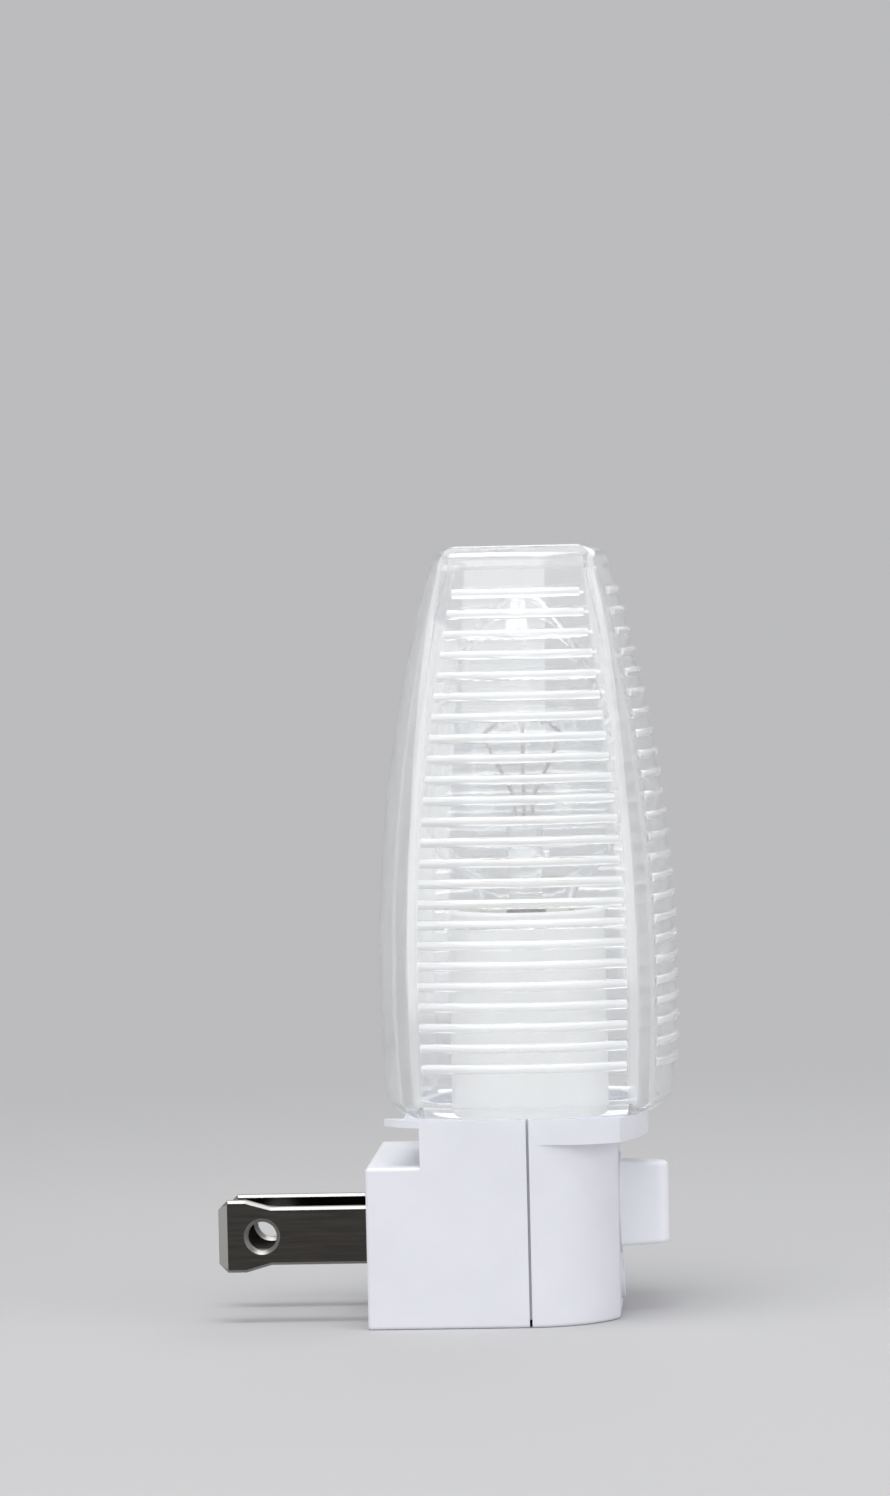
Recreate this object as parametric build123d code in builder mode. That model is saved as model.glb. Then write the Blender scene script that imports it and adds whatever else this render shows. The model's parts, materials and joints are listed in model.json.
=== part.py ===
from build123d import *
import os
from math import asin, cos, degrees, radians, sin, sqrt

# Plug-in night light: a clear ribbed shade over a screw-base lamp, on a two-part plug housing.
# The origin is the middle of the outlet face, between the blades. +X points into the room,
# -X into the wall and +Z up. Sizes are millimetres.

# Clearances
fit_clearance = 0.03
running_clearance = 0.06
slip_clearance = 0.15
shade_clearance = 0.35

# Housing
wall = 2.0
body_width = 28.4
rear_depth = 17.6
front_depth = 9.7
body_bottom = -9.6
step_top = 8.1
neck_depth = 11.6
front_edge_radius = 1.0
edge_radius = 0.4
flange_top = 13.1
flange_rear_margin = 4.1
flange_front_margin = 0.35
flange_side_margin = 1.5
flange_corner_radius = 8.0
flange_ear = 3.9
rear_flange_thickness = 0.8
front_flange_thickness = 2.8
collar_height = 0.9
collar_wall = 1.2
seam_width = 0.3
seam_depth = 0.8
pip_radius = 2.1
pip_height = 0.35
pip_rounding = 0.25
pip_above_bottom = 3.4

# Shade
lamp_headroom = 3.3
lamp_side_room = 3.9
shade_wall = 1.5
shade_top_wall = 1.6
barrel_radius = 160.0
widest_above_flange = 14.9
bow_radius = 31.4
corner_margin = 2.2
bottom_round = 2.4
top_round = 2.6
mouth_rim = 0.5
mouth_lip = 1.6
rib_count = 24
rib_width = 1.1
rib_height = 0.45
rib_root = 0.2
rib_frame = 2.2
first_rib_above_flange = 5.7
last_rib_below_top = 5.2

# Plug blades
blade_spacing = 12.7
blade_reach = 16.8
blade_thickness = 1.5
blade_height = 6.35
wide_tip_height = 7.94
tip_taper_start = 5.8
tip_taper_end = 3.0
tip_corner = 1.0
tip_bevel = 0.4
tip_bevel_length = 1.0
blade_edge_bevel = 0.3
blade_hole_radius = 1.6
blade_hole_from_tip = 4.8
blade_hole_bevel = 0.4
blade_tail = 8.0
blade_boss_depth = 3.4
blade_boss_wall = 1.2

# Straps and rivets
strip_thickness = 0.4
strap_height = 3.0
rivet_radius = 1.0
rivet_head_radius = 1.6
rivet_head_height = 0.5
rivet_behind_boss = 2.2

# Socket
sleeve_rim = 1.15
sleeve_above_cap = 1.1
sleeve_floor = 1.9
spigot_radius = 7.2
spigot_bore = 6.2
plate_thickness = 1.8
plate_side_gap = 1.2
plate_rear_gap = 2.1
plate_ahead_of_axis = 2.0
rail_height = 1.5
rail_overlap = 1.2
shell_play = 0.2
shell_wall = 0.4
shell_lip = 0.75
shell_lip_drop = 1.2
shell_above_floor = 2.8
neutral_leg_width = 2.8
neutral_leg_inset = 0.55
tongue_above_floor = 2.0

# Switch
switch_height = 2.4
knob_radius = 5.5
knob_thickness = 1.0
knob_recess = 0.85
grip_length = 9.5
grip_width = 3.8
grip_reach = 5.2
grip_taper = 3.0
grip_side_rounding = 1.3
grip_end_rounding = 0.5
shaft_radius = 2.5
shaft_square = 3.2
rotor_radius = 5.75
rotor_side_room = 1.75
rotor_thickness = 2.3
lug_reach = 1.2
lug_width = 1.6
lug_thickness = 1.1
stop_size = 1.6
bridge_length = 7.2
bridge_width = 2.2
bridge_thickness = 0.6
bridge_recess = 0.5
contact_offset = 2.4
contact_width = 2.2
contact_button_radius = 0.8
contact_button_height = 0.55
contact_gap = 0.1
rotor_gap = 0.2
rotor_screw_radius = 0.7
rotor_screw_length = 2.2
rotor_screw_head_radius = 1.2
rotor_screw_head_height = 0.4
board_thickness = 1.4
board_edge = 2.6
board_top_above_switch = 4.1
board_rib_start = 2.6
board_rib_length = 2.2
board_rib_thickness = 1.2
board_rib_height = 4.0
jog_above_board = 0.6

# Housing screws
screw_radius = 1.1
screw_head_radius = 2.1
screw_head_height = 1.3
screw_head_recess = 1.6
screw_slot_width = 0.6
screw_boss_radius = 2.2
screw_inset = 4.0
screw_above_bottom = 3.3
screw_bite = 4.4

# Lamp
lamp_above_contact = 0.1
lamp_length = 53.0
lamp_radius = 11.0
lamp_shoulder_rise = 12.4
lamp_crown_radius = 3.3
lamp_shoulder_radius = 10.0
lamp_flare_radius = 4.0
glass_wall = 0.6
cap_radius = 5.95
cap_wall = 0.3
cap_bottom = 3.2
cap_top = 16.6
thread_pitch = 2.54
thread_depth = 0.35
insulator_bottom = 1.0
insulator_radius = 4.6
foot_radius = 2.4
stem_radius = 1.9
stem_top = 28.0
lead_radius = 0.2
lead_spread = 4.2
lead_rise = 8.5
lead_base = 1.0
lead_straight = 2.0
filament_radius = 0.28
filament_rise = 1.6

# Places that follow from the sizes above
lamp_x = rear_depth
front_x = rear_depth + front_depth
neck_start = rear_depth - neck_depth
front_flat = 2 * (rotor_radius + rotor_side_room)
body_half = body_width / 2
inner_half = body_half - wall
floor_z = body_bottom + wall
top_wall_z = flange_top - wall
blade_y = blade_spacing / 2
blade_inner_y = blade_y - blade_thickness / 2
strap_inner_y = blade_inner_y - strip_thickness
boss_end = wall + blade_boss_depth
rivet_x = boss_end + rivet_behind_boss
strap_start = boss_end + slip_clearance
front_wall_x = front_x - wall
rotor_front = front_wall_x - rotor_gap
rotor_rear = rotor_front - rotor_thickness
bridge_front = rotor_rear + bridge_recess
bridge_rear = bridge_front - bridge_thickness
contact_x = bridge_rear - contact_button_height - contact_gap
board_front = contact_x - strip_thickness
board_rear = board_front - board_thickness
board_top = switch_height + board_top_above_switch
jog_z = board_top + jog_above_board
plate_z = top_wall_z - plate_thickness
plate_width = 2 * (inner_half - plate_side_gap)
plate_rear = neck_start + wall + plate_rear_gap
plate_front = lamp_x + plate_ahead_of_axis
floor_top = flange_top + sleeve_floor
tongue_z = floor_top + tongue_above_floor
lamp_z = tongue_z + strip_thickness + lamp_above_contact
shell_bore = cap_radius + shell_play
shell_lip_radius = shell_bore + shell_wall + shell_lip
shell_bottom = floor_top + shell_above_floor
sleeve_radius = shell_lip_radius + slip_clearance + sleeve_rim
sleeve_bore = shell_bore + shell_wall + slip_clearance / 2
sleeve_top = lamp_z + cap_top + sleeve_above_cap
shade_inside_top = lamp_z + lamp_length + lamp_headroom
shade_top = shade_inside_top + shade_top_wall
shade_half_width = lamp_radius + lamp_side_room + shade_wall
shade_widest = flange_top + widest_above_flange
bow_setback = bow_radius - shade_half_width
leg_x = board_rear + strip_thickness
screw_y = body_half - screw_inset
board_width = 2 * (blade_inner_y + slip_clearance + board_edge)
screw_z = body_bottom + screw_above_bottom
screw_end = rear_depth + screw_bite
parting = Plane.YZ.offset(rear_depth)


def block(x, y, z, mode=Mode.ADD):
    """A box between two limits on each axis, in the part being built."""
    with Locations(((x[0] + x[1]) / 2, (y[0] + y[1]) / 2, (z[0] + z[1]) / 2)):
        Box(x[1] - x[0], y[1] - y[0], z[1] - z[0], mode=mode)


def rod(x, y, z, radius, mode=Mode.ADD):
    """A round bar along X between two limits."""
    with Locations(((x[0] + x[1]) / 2, y, z)):
        Cylinder(radius, x[1] - x[0], rotation=(0, 90, 0), mode=mode)


def cross_rod(x, y, z, radius, mode=Mode.ADD):
    """A round bar along Y between two limits."""
    with Locations((x, (y[0] + y[1]) / 2, z)):
        Cylinder(radius, y[1] - y[0], rotation=(90, 0, 0), mode=mode)


def disc(z, radius, mode=Mode.ADD):
    """A round slab on the lamp axis between two heights."""
    with Locations((lamp_x, 0, (z[0] + z[1]) / 2)):
        Cylinder(radius, z[1] - z[0], mode=mode)


def bowed_square(half_width, mode=Mode.ADD):
    """A square on the lamp axis whose four sides bow outwards like the shade's faces."""
    radius = bow_setback + half_width
    with Locations((lamp_x - bow_setback, 0)):
        Circle(radius, mode=mode)
    for x, y in ((bow_setback, 0), (0, bow_setback), (0, -bow_setback)):
        with Locations((lamp_x + x, y)):
            Circle(radius, mode=Mode.INTERSECT)


def front_outline():
    """Plan of the front housing: sides that curve in from the parting plane to a flat front."""
    with BuildLine() as plan:
        for side in (-1, 1):
            Line((0, side * body_half), (rear_depth, side * body_half))
            TangentArc((rear_depth, side * body_half), (front_x, side * front_flat / 2), tangent=(1, 0))
        Line((front_x, -front_flat / 2), (front_x, front_flat / 2))
        Line((0, -body_half), (0, body_half))
    make_face(plan.line.edges())


def barrel(z):
    """Half-width of the smooth shade at a height: one large arc, widest near the bottom."""
    return shade_half_width - barrel_radius + sqrt(barrel_radius**2 - (z - shade_widest) ** 2)


def save(piece, name):
    piece.label = name
    export_step(piece, f"parts/{name}.step")


mouth_half_width = barrel(flange_top + bottom_round) - bottom_round - mouth_rim
collar_half_width = mouth_half_width - shade_clearance


def flange_outline():
    """Plan of the flange that the shade stands on: bowed in front, with an ear at each rear corner."""
    rear = lamp_x - collar_half_width - flange_rear_margin
    front = lamp_x + collar_half_width + flange_front_margin
    side = collar_half_width + flange_side_margin
    scoop = lamp_x - mouth_half_width - mouth_rim
    with Locations(((rear + front) / 2, 0)):
        RectangleRounded(front - rear, 2 * side, flange_corner_radius)
    with Locations((lamp_x - bow_setback, 0)):
        Circle(front - lamp_x + bow_setback, mode=Mode.INTERSECT)
    with Locations((rear, 0)):
        Rectangle(2 * (scoop - rear), 2 * (side - flange_ear), mode=Mode.SUBTRACT)


os.makedirs("parts", exist_ok=True)

# Collar that locates the mouth of the shade, half of it on each housing
with BuildPart() as collar:
    with BuildSketch(Plane.XY.offset(flange_top)) as collar_outer:
        bowed_square(collar_half_width)
    extrude(amount=collar_height)
    with BuildSketch(Plane.XY.offset(flange_top)) as collar_inner:
        bowed_square(collar_half_width - collar_wall)
    extrude(amount=collar_height, mode=Mode.SUBTRACT)

# Rear housing: outlet face, step, neck and the rear half of the flange
with BuildPart() as rear_housing:
    block((0, rear_depth), (-body_half, body_half), (body_bottom, step_top))
    block((neck_start, rear_depth), (-body_half, body_half), (body_bottom, flange_top))
    outside = rear_housing.edges().filter_by(lambda e: e.center().X < rear_depth - edge_radius)
    below_top = outside.filter_by(lambda e: e.center().Z < flange_top - edge_radius)
    fillet(below_top.filter_by(lambda e: abs(e.center().X - neck_start) > edge_radius), edge_radius)
    with BuildSketch(Plane.XY.offset(flange_top - rear_flange_thickness)) as rear_flange:
        flange_outline()
    extrude(amount=rear_flange_thickness)
    add(collar.part)
    block((wall, front_x), (-inner_half, inner_half), (floor_z, step_top - wall), Mode.SUBTRACT)
    block((neck_start + wall, front_x), (-inner_half, inner_half), (floor_z, top_wall_z), Mode.SUBTRACT)
    disc((plate_z, flange_top), spigot_radius + slip_clearance, Mode.SUBTRACT)
    for side in (-1, 1):
        rail_y = sorted((side * (plate_width / 2 - rail_overlap), side * (body_half - wall / 2)))
        block((neck_start + wall / 2, rear_depth), rail_y, (plate_z - rail_height, plate_z))
        boss_y = blade_thickness / 2 + blade_boss_wall
        boss_z = wide_tip_height / 2 + blade_boss_wall
        block((wall / 2, boss_end), (side * blade_y - boss_y, side * blade_y + boss_y), (-boss_z, boss_z))
        slot_y = blade_thickness / 2 + fit_clearance
        slot_z = blade_height / 2 + fit_clearance
        slot_span = (side * blade_y - slot_y, side * blade_y + slot_y)
        block((-wall, boss_end + wall), slot_span, (-slot_z, slot_z), Mode.SUBTRACT)
        rod((wall / 2, rear_depth), side * screw_y, screw_z, screw_boss_radius)
        rod((-wall, rear_depth), side * screw_y, screw_z, screw_radius + slip_clearance, Mode.SUBTRACT)
        head_hole = screw_head_radius + slip_clearance
        rod((-wall, screw_head_recess), side * screw_y, screw_z, head_hole, Mode.SUBTRACT)
    split(bisect_by=parting, keep=Keep.BOTTOM)
save(rear_housing.part, "rear_housing")

# Front housing: curved sides, flat front, knob recess and the front half of the flange
with BuildPart() as front_housing:
    with BuildSketch(Plane.XY.offset(body_bottom)) as front_plan:
        front_outline()
        fillet(front_plan.vertices().group_by(Axis.X)[-1], front_edge_radius)
    extrude(amount=flange_top - body_bottom)
    fillet(front_housing.faces().sort_by(Axis.Z)[0].edges(), edge_radius)
    with BuildSketch(Plane.XY.offset(flange_top - front_flange_thickness)) as front_flange:
        flange_outline()
    extrude(amount=front_flange_thickness)
    add(collar.part)
    with BuildSketch(Plane.XY.offset(floor_z)) as front_inside:
        front_outline()
        offset(amount=-wall, kind=Kind.INTERSECTION, mode=Mode.REPLACE)
    extrude(amount=top_wall_z - floor_z, mode=Mode.SUBTRACT)
    disc((plate_z, flange_top), spigot_radius + slip_clearance, Mode.SUBTRACT)
    recess_x = front_x - knob_recess
    rod((recess_x, front_x + wall), 0, switch_height, knob_radius + slip_clearance, Mode.SUBTRACT)
    rod((front_wall_x - wall, front_x), 0, switch_height, shaft_radius + running_clearance, Mode.SUBTRACT)
    for side in (-1, 1):
        rod((rear_depth, screw_end), side * screw_y, screw_z, screw_boss_radius)
        rib_y = sorted((side * board_rib_start, side * (board_rib_start + board_rib_length)))
        rib_z = (floor_z - wall / 2, floor_z + board_rib_height)
        block((board_front, board_front + board_rib_thickness), rib_y, rib_z)
        block((board_rear - board_rib_thickness, board_rear), rib_y, rib_z)
        rod((rear_depth, screw_end), side * screw_y, screw_z, screw_radius + fit_clearance, Mode.SUBTRACT)
    with BuildSketch(Plane.YZ.offset(front_wall_x - lug_thickness)) as stops:
        stop_path = rotor_radius + lug_reach / 2 + slip_clearance
        stop_gap = (lug_width + stop_size) / 2 + slip_clearance
        with Locations((stop_gap, switch_height + stop_path)):
            Rectangle(stop_size, lug_reach)
        with Locations((-stop_path, switch_height - stop_gap)):
            Rectangle(lug_reach, stop_size)
    extrude(amount=lug_thickness + wall / 2)
    rod((front_x - wall / 2, front_x + pip_height), 0, body_bottom + pip_above_bottom, pip_radius)
    fillet(front_housing.edges().filter_by(GeomType.CIRCLE).sort_by(Axis.X)[-1], pip_rounding)
    seam_x = (rear_depth, rear_depth + seam_width)
    for side in (-1, 1):
        seam_y = sorted((side * (body_half - seam_depth), side * body_width))
        block(seam_x, seam_y, (body_bottom - wall, flange_top + wall), Mode.SUBTRACT)
    below = (body_bottom - wall, body_bottom + seam_depth)
    block(seam_x, (-body_half, body_half), below, Mode.SUBTRACT)
    split(bisect_by=parting, keep=Keep.TOP)
save(front_housing.part, "front_housing")

# Clear shade: four bowed faces, ribbed on three sides and smooth towards the wall
lip_top = flange_top + mouth_lip
ribbed_faces = (0, 90, 270)
wall_face = 180
faces = (*ribbed_faces, wall_face)
first_rib = flange_top + first_rib_above_flange
rib_pitch = (shade_top - last_rib_below_top - first_rib) / (rib_count - 1)
half_turn_rise = sin(radians(45))


def heading(angle):
    """The level direction at an angle from +X."""
    return Vector(cos(radians(angle)), sin(radians(angle)), 0)


def face_plane(direction, turn=0):
    """An upright plane through the axis that one shade face bows about, turned from the face's middle."""
    origin = Vector(lamp_x, 0, 0) - heading(direction) * bow_setback
    toward = heading(direction + turn)
    return Plane(origin=origin, x_dir=toward, z_dir=(toward.Y, -toward.X, 0))


def shade_profile(reach):
    """Closed half-section of the smooth shade, moved out from the axis that it turns about."""
    low_z = flange_top + bottom_round
    high_z = shade_top - top_round
    middle_z = (low_z + high_z) / 2
    low = reach + barrel(low_z)
    high = reach + barrel(high_z)
    bottom_turn = bottom_round * half_turn_rise
    top_turn = top_round * half_turn_rise
    with BuildLine() as profile:
        Line((0, flange_top), (low - bottom_round, flange_top))
        bottom_middle = (low - bottom_round + bottom_turn, low_z - bottom_turn)
        ThreePointArc((low - bottom_round, flange_top), bottom_middle, (low, low_z))
        ThreePointArc((low, low_z), (reach + barrel(middle_z), middle_z), (high, high_z))
        top_middle = (high - top_round + top_turn, high_z + top_turn)
        ThreePointArc((high, high_z), top_middle, (high - top_round, shade_top))
        Polyline((high - top_round, shade_top), (0, shade_top), (0, flange_top))
    return profile.line.edges()


def rib_half_angle(half_width):
    """Angle from the middle of a face to the end of a rib, short of the shade's corner by the frame."""
    radius = bow_setback + half_width
    corner = (sqrt(2 * radius**2 - bow_setback**2) - bow_setback) / 2
    return degrees(asin((corner - rib_frame) / radius))


with BuildPart() as shade_inside:
    for direction in faces:
        section_plane = face_plane(direction)
        low = bow_setback + barrel(lip_top) - shade_wall
        middle_z = (lip_top + shade_inside_top) / 2
        middle = bow_setback + barrel(middle_z) - shade_wall
        high = bow_setback + barrel(shade_inside_top) - shade_wall
        with BuildSketch(section_plane) as inside_section:
            with BuildLine() as inside_line:
                ThreePointArc((low, lip_top), (middle, middle_z), (high, shade_inside_top))
                Polyline((high, shade_inside_top), (0, shade_inside_top), (0, lip_top), (low, lip_top))
            make_face()
        joined = Mode.ADD if direction == faces[0] else Mode.INTERSECT
        revolve(axis=Axis(section_plane.origin, (0, 0, 1)), mode=joined)
    with BuildSketch(Plane.XY.offset(flange_top)) as mouth:
        bowed_square(mouth_half_width)
    extrude(amount=mouth_lip)

with BuildPart() as shade:
    corner_plane = Plane(origin=(lamp_x, 0, 0), x_dir=(1, 0, 0), z_dir=(0, -1, 0))
    with BuildSketch(corner_plane) as corner_section:
        make_face(shade_profile(corner_margin))
    revolve(axis=Axis(corner_plane.origin, (0, 0, 1)))
    for direction in faces:
        section_plane = face_plane(direction)
        with BuildSketch(section_plane) as shade_section:
            make_face(shade_profile(bow_setback))
        revolve(axis=Axis(section_plane.origin, (0, 0, 1)), mode=Mode.INTERSECT)
    add(shade_inside.part, mode=Mode.SUBTRACT)
    ribs = []
    for direction in ribbed_faces:
        for rib in range(rib_count):
            rib_z = first_rib + rib * rib_pitch
            half_angle = rib_half_angle(barrel(rib_z))
            section_plane = face_plane(direction, -half_angle)
            foot = bow_setback + barrel(rib_z)
            lower = (foot - rib_root, rib_z - rib_width / 2)
            upper = (foot - rib_root, rib_z + rib_width / 2)
            with BuildSketch(section_plane) as rib_section:
                with BuildLine() as rib_line:
                    ThreePointArc(lower, (foot + rib_height, rib_z), upper)
                    Line(upper, lower)
                make_face()
            rib_axis = Axis(section_plane.origin, (0, 0, 1))
            ribs.append(revolve(axis=rib_axis, revolution_arc=2 * half_angle, mode=Mode.PRIVATE))
    add(ribs)
save(shade.part, "shade")

# Socket sleeve: white lampholder tube on a plate that the two housings trap
with BuildPart() as socket_sleeve:
    block((plate_rear, plate_front), (-plate_width / 2, plate_width / 2), (plate_z, top_wall_z))
    disc((plate_z, flange_top), spigot_radius)
    block((plate_front, front_x), (-plate_width, plate_width), (plate_z, top_wall_z), Mode.SUBTRACT)
    disc((flange_top, sleeve_top), sleeve_radius)
    disc((plate_z, flange_top), spigot_bore, Mode.SUBTRACT)
    disc((floor_top, sleeve_top), sleeve_bore, Mode.SUBTRACT)
    lip_seat = sleeve_top - shell_lip_drop - strip_thickness
    disc((lip_seat, sleeve_top), shell_lip_radius + slip_clearance, Mode.SUBTRACT)
    leg_span = (-contact_offset - contact_width / 2, -contact_offset + contact_width / 2)
    slot_span = (leg_span[0] - slip_clearance, leg_span[1] + slip_clearance)
    slot_x = (leg_x - strip_thickness - slip_clearance, leg_x + slip_clearance)
    block(slot_x, slot_span, (plate_z, floor_top), Mode.SUBTRACT)
    neutral_half = neutral_leg_width / 2
    neutral_slot = (lamp_x - neutral_half - slip_clearance, lamp_x + neutral_half + slip_clearance)
    neutral_leg_y = (neutral_leg_inset - shell_bore, neutral_leg_inset - shell_bore + strip_thickness)
    neutral_gap = (neutral_leg_y[0] - slip_clearance, neutral_leg_y[1] + slip_clearance)
    block(neutral_slot, neutral_gap, (plate_z, floor_top), Mode.SUBTRACT)
    fillet(socket_sleeve.faces().sort_by(Axis.Z)[-1].outer_wire().edges(), edge_radius)
save(socket_sleeve.part, "socket_sleeve")

# Screw shell: brass lining that hangs by its lip in the mouth of the sleeve
with BuildPart() as screw_shell:
    disc((shell_bottom, sleeve_top - shell_lip_drop), shell_bore + shell_wall)
    disc((lip_seat, sleeve_top - shell_lip_drop), shell_lip_radius)
    disc((shell_bottom, sleeve_top - shell_lip_drop), shell_bore, Mode.SUBTRACT)
save(screw_shell.part, "screw_shell")

# Plug blades: the neutral one is flared at its tip
tail_x = rivet_x + blade_tail / 2
for name, side, tip_height in (("neutral_blade", -1, wide_tip_height), ("line_blade", 1, blade_height)):
    with BuildPart() as blade:
        shank = blade_height / 2
        tip = tip_height / 2
        upper = [
            (tail_x, shank),
            (tip_taper_start - blade_reach, shank),
            (tip_taper_end - blade_reach, tip),
            (tip_corner - blade_reach, tip),
            (-blade_reach, tip - tip_corner),
        ]
        outline = [point for point in upper if tip != shank or point != upper[1]]
        lower = [(x, -z) for x, z in reversed(outline)]
        with BuildSketch(Plane.XZ.offset(-side * blade_y)) as blade_side:
            Polygon(*outline, *lower, align=None)
        extrude(amount=blade_thickness / 2, both=True)
        sides = blade.faces().filter_by(Axis.Y).edges()
        chamfer(sides.filter_by(Axis.Z, reverse=True), blade_edge_bevel)
        half_edge = blade_thickness / 2 - tip_bevel
        with BuildSketch(Plane.XY) as blade_plan:
            with Locations((0, side * blade_y)):
                Polygon(
                    (tail_x, -blade_thickness / 2),
                    (tail_x, blade_thickness / 2),
                    (tip_bevel_length - blade_reach, blade_thickness / 2),
                    (-blade_reach, half_edge),
                    (-blade_reach, -half_edge),
                    (tip_bevel_length - blade_reach, -blade_thickness / 2),
                    align=None,
                )
        extrude(amount=tip_height, both=True, mode=Mode.INTERSECT)
        hole_span = (side * blade_y - blade_thickness, side * blade_y + blade_thickness)
        hole_x = blade_hole_from_tip - blade_reach
        cross_rod(hole_x, hole_span, 0, blade_hole_radius, Mode.SUBTRACT)
        chamfer(blade.edges().filter_by(GeomType.CIRCLE), blade_hole_bevel)
        cross_rod(rivet_x, hole_span, 0, rivet_radius + fit_clearance, Mode.SUBTRACT)
    save(blade.part, name)

# Neutral strap: from the neutral blade up to a foot under the rim of the screw shell
with BuildPart() as neutral_strap:
    leg_x_span = (lamp_x - neutral_half, lamp_x + neutral_half)
    strap_y = (-blade_inner_y, -strap_inner_y)
    strap_z = (-strap_height / 2, strap_height / 2)
    block((strap_start, leg_x_span[1]), strap_y, strap_z)
    block(leg_x_span, (min(strap_y[0], neutral_leg_y[0]), max(strap_y[1], neutral_leg_y[1])), strap_z)
    block(leg_x_span, neutral_leg_y, (-strap_height / 2, shell_bottom))
    foot_y = -sqrt((sleeve_bore - slip_clearance) ** 2 - neutral_half**2)
    block(leg_x_span, (foot_y, neutral_leg_y[1]), (shell_bottom - strip_thickness, shell_bottom))
    cross_rod(rivet_x, (-blade_y, 0), 0, rivet_radius + fit_clearance, Mode.SUBTRACT)
save(neutral_strap.part, "neutral_strap")

# Line strap: from the line blade to the fixed contact of the switch
with BuildPart() as line_strap:
    strap_y = (strap_inner_y, blade_inner_y)
    block((strap_start, contact_x), strap_y, (-strap_height / 2, strap_height / 2))
    pad_y = (contact_offset - contact_width / 2, blade_inner_y)
    pad_z = (-strap_height / 2, switch_height + contact_width / 2)
    block((board_front, contact_x), pad_y, pad_z)
    cross_rod(rivet_x, (0, blade_y), 0, rivet_radius + fit_clearance, Mode.SUBTRACT)
save(line_strap.part, "line_strap")

# Lamp contact: from the other fixed contact over the board and up to a tongue under the lamp
with BuildPart() as lamp_contact:
    lamp_pad_z = (switch_height - contact_width / 2, jog_z + strip_thickness)
    block((board_front, contact_x), leg_span, lamp_pad_z)
    block((leg_x - strip_thickness, contact_x), leg_span, (jog_z, jog_z + strip_thickness))
    block((leg_x - strip_thickness, leg_x), leg_span, (jog_z, tongue_z + strip_thickness))
    tongue_x = (lamp_x - foot_radius, leg_x)
    block(tongue_x, (leg_span[0], foot_radius), (tongue_z, tongue_z + strip_thickness))
save(lamp_contact.part, "lamp_contact")

# Rivets that join each blade to its strap
with BuildPart() as blade_rivets:
    for side in (-1, 1):
        outer_y = blade_y + blade_thickness / 2
        shank_y = sorted((side * outer_y, side * strap_inner_y))
        cross_rod(rivet_x, shank_y, 0, rivet_radius)
        outer_head = sorted((side * outer_y, side * (outer_y + rivet_head_height)))
        cross_rod(rivet_x, outer_head, 0, rivet_head_radius)
        inner_head = sorted((side * strap_inner_y, side * (strap_inner_y - rivet_head_height)))
        cross_rod(rivet_x, inner_head, 0, rivet_head_radius)
save(blade_rivets.part, "blade_rivets")

# Contact board: insulating plate behind the fixed contacts, standing between ribs on the floor
with BuildPart() as contact_board:
    block((board_rear, board_front), (-board_width / 2, board_width / 2), (floor_z, board_top))
    strap_gap = (strap_inner_y - slip_clearance, blade_inner_y + slip_clearance)
    gap_z = (-strap_height / 2 - slip_clearance, strap_height / 2 + slip_clearance)
    block((board_rear, board_front), strap_gap, gap_z, Mode.SUBTRACT)
    for side in (-1, 1):
        boss_clear = screw_boss_radius + slip_clearance
        rod((board_rear, board_front), side * screw_y, screw_z, boss_clear, Mode.SUBTRACT)
save(contact_board.part, "contact_board")

# Switch knob: round base in the recess, an upright grip, and a shaft with a square end
with BuildPart() as switch_knob:
    knob_back = recess_x + running_clearance
    knob_face = knob_back + knob_thickness
    with BuildSketch(Plane.YZ.offset(knob_face)) as grip_foot:
        with Locations((0, switch_height)):
            Rectangle(grip_width, grip_length)
    extrude(amount=grip_reach, taper=grip_taper)
    fillet(switch_knob.faces().sort_by(Axis.X)[-1].edges().filter_by(Axis.Z), grip_side_rounding)
    upper_face = switch_knob.faces().sort_by(Axis.Z)[-1]
    lower_face = switch_knob.faces().sort_by(Axis.Z)[0]
    for grip_end in (upper_face, lower_face):
        outer_edges = grip_end.edges().filter_by(lambda e: e.center().X > knob_face + grip_reach / 2)
        fillet(outer_edges.filter_by(Axis.X, reverse=True), grip_end_rounding)
    rod((knob_back, knob_face), 0, switch_height, knob_radius)
    rod((rotor_front, knob_back), 0, switch_height, shaft_radius)
    square_y = (-shaft_square / 2, shaft_square / 2)
    square_z = (switch_height - shaft_square / 2, switch_height + shaft_square / 2)
    block((bridge_front, rotor_front), square_y, square_z)
    screw_tip = bridge_front + rotor_screw_length
    rod((bridge_front, screw_tip), 0, switch_height, rotor_screw_radius + fit_clearance, Mode.SUBTRACT)
save(switch_knob.part, "switch_knob")

# Switch rotor: insulating disc on the square end, with a lug that runs between two stops
with BuildPart() as switch_rotor:
    rod((rotor_rear, rotor_front), 0, switch_height, rotor_radius)
    lug_x = (rotor_front - lug_thickness, rotor_front)
    lug_z = (switch_height + rotor_radius / 2, switch_height + rotor_radius + lug_reach)
    block(lug_x, (-lug_width / 2, lug_width / 2), lug_z)
    hole_y = (square_y[0] - fit_clearance, square_y[1] + fit_clearance)
    hole_z = (square_z[0] - fit_clearance, square_z[1] + fit_clearance)
    block((rotor_rear, rotor_front), hole_y, hole_z, Mode.SUBTRACT)
    bed_y = bridge_width / 2 + fit_clearance
    bed_z = bridge_length / 2 + fit_clearance
    bed_z_span = (switch_height - bed_z, switch_height + bed_z)
    block((rotor_rear, bridge_front), (-bed_y, bed_y), bed_z_span, Mode.SUBTRACT)
save(switch_rotor.part, "switch_rotor")

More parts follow.
